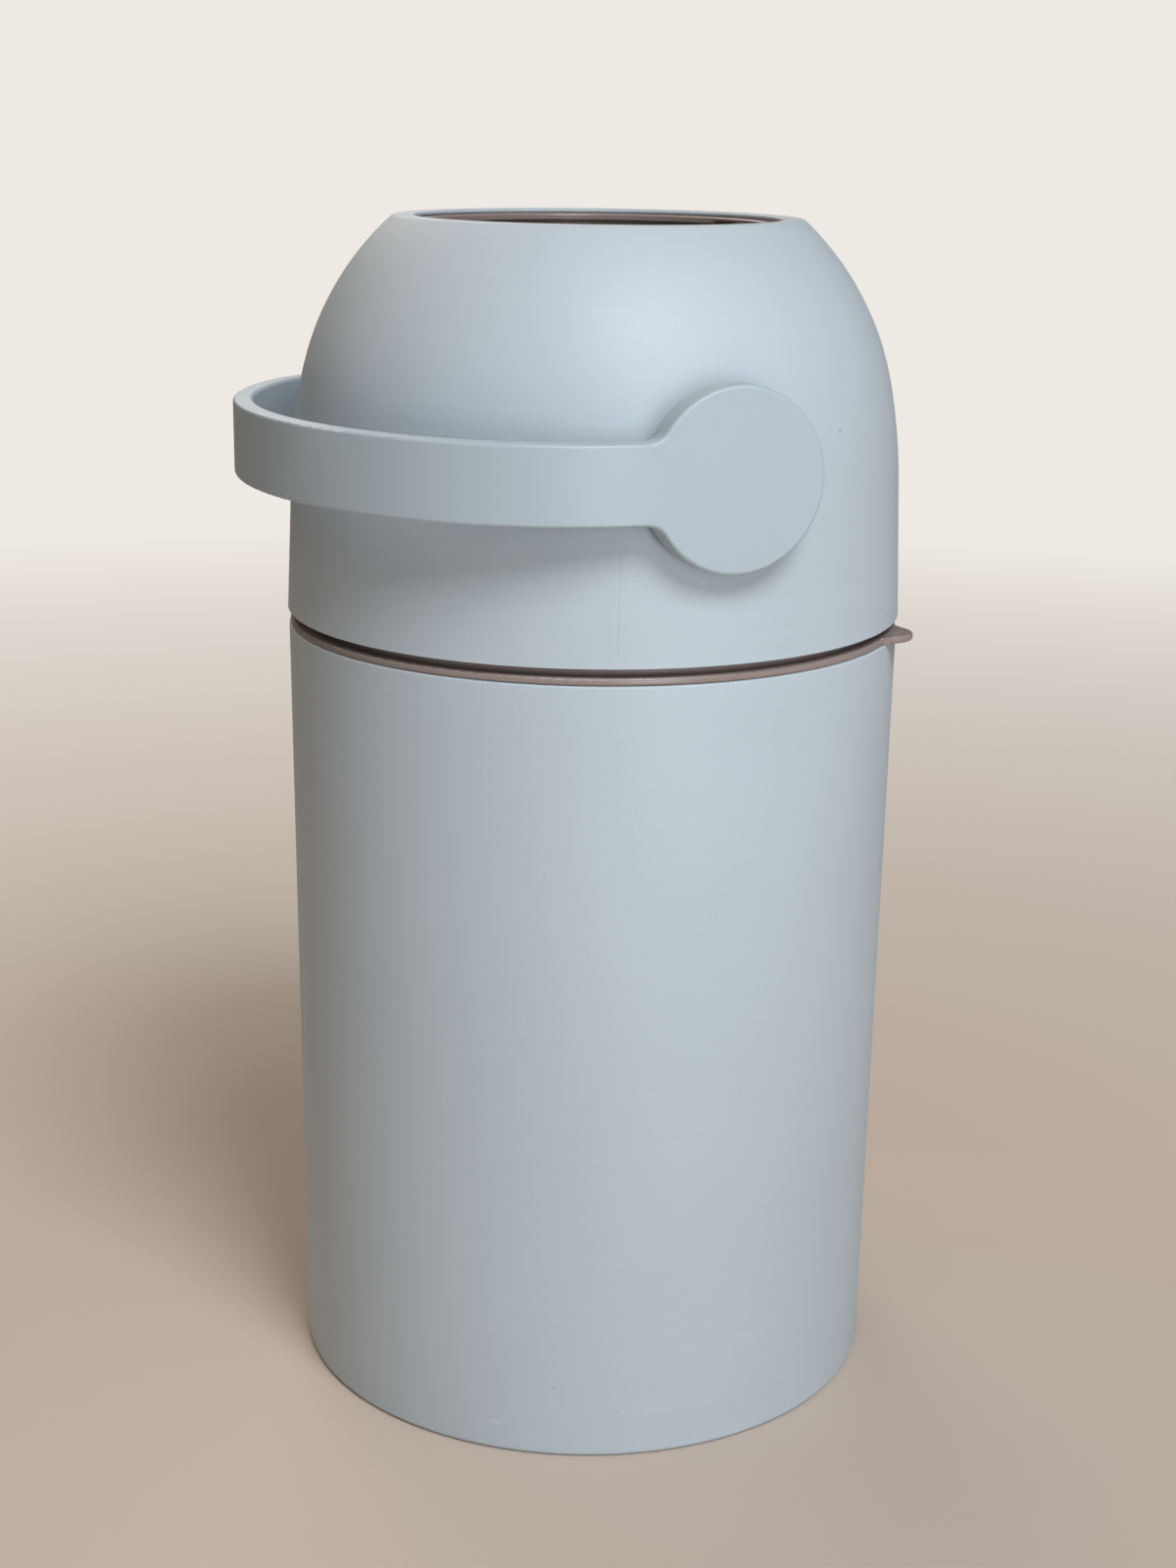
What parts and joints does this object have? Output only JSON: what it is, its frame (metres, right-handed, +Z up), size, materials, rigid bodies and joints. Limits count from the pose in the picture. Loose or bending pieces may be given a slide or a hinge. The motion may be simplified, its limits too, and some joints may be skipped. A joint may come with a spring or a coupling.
{
  "type": "nappy bin",
  "caption": "Round nappy bin with a lift-off domed head; its U handle turns a ball-shaped drum that drops nappies into the bagged body.",
  "frame": {"origin": "on the floor, at the centre line of the round body", "axes": "+Z up; the drum and handle turn about a line along X; the handle rests towards -Y, which is the front"},
  "size_m": [0.2862, 0.2868, 0.5096],
  "materials": {
    "shell_plastic": "pale blue-grey moulded plastic, satin with a very fine grain",
    "taupe_plastic": "taupe moulded plastic, semi-gloss",
    "white_plastic": "natural white low-friction plastic",
    "seal_rubber": "soft dark grey-brown elastomer",
    "screw_steel": "zinc-plated steel"
  },
  "bodies": {
    "bin": {"bin_body": "shell_plastic"},
    "ring": {"bag_ring": "taupe_plastic"},
    "head": {"head_shell": "shell_plastic", "head_base": "taupe_plastic", "head_gasket": "seal_rubber", "head_screws": "screw_steel", "inlet_seal": "seal_rubber", "outlet_seal": "seal_rubber", "pivot_bush_right": "white_plastic", "pivot_bush_left": "white_plastic"},
    "drum": {"carry_handle": "shell_plastic", "pivot_pin_right": "white_plastic", "pivot_pin_left": "white_plastic", "pivot_screws": "screw_steel", "drum_upper": "taupe_plastic", "drum_lower": "taupe_plastic", "drum_sleeve": "taupe_plastic", "drum_screws": "screw_steel"},
    "piston": {"piston_upper": "taupe_plastic", "piston_lower": "taupe_plastic", "piston_seal": "seal_rubber", "piston_screws": "screw_steel"}
  },
  "joints": [
    {"name": "ring_lift", "type": "slide", "parent": "bin", "child": "ring", "axis": [0, 0, 1], "range_m": [0, 0.06]},
    {"name": "head_lift", "type": "slide", "parent": "ring", "child": "head", "axis": [0, 0, 1], "range_m": [0, 0.18]},
    {"name": "handle_turn", "type": "hinge", "parent": "head", "child": "drum", "pos_m": [0, 0, 0.4181], "axis": [-1, 0, 0], "range_deg": [0, 180]},
    {"name": "piston_slide", "type": "slide", "parent": "drum", "child": "piston", "axis": [0, 0, 1], "range_m": [0, 0.1476]}
  ]
}
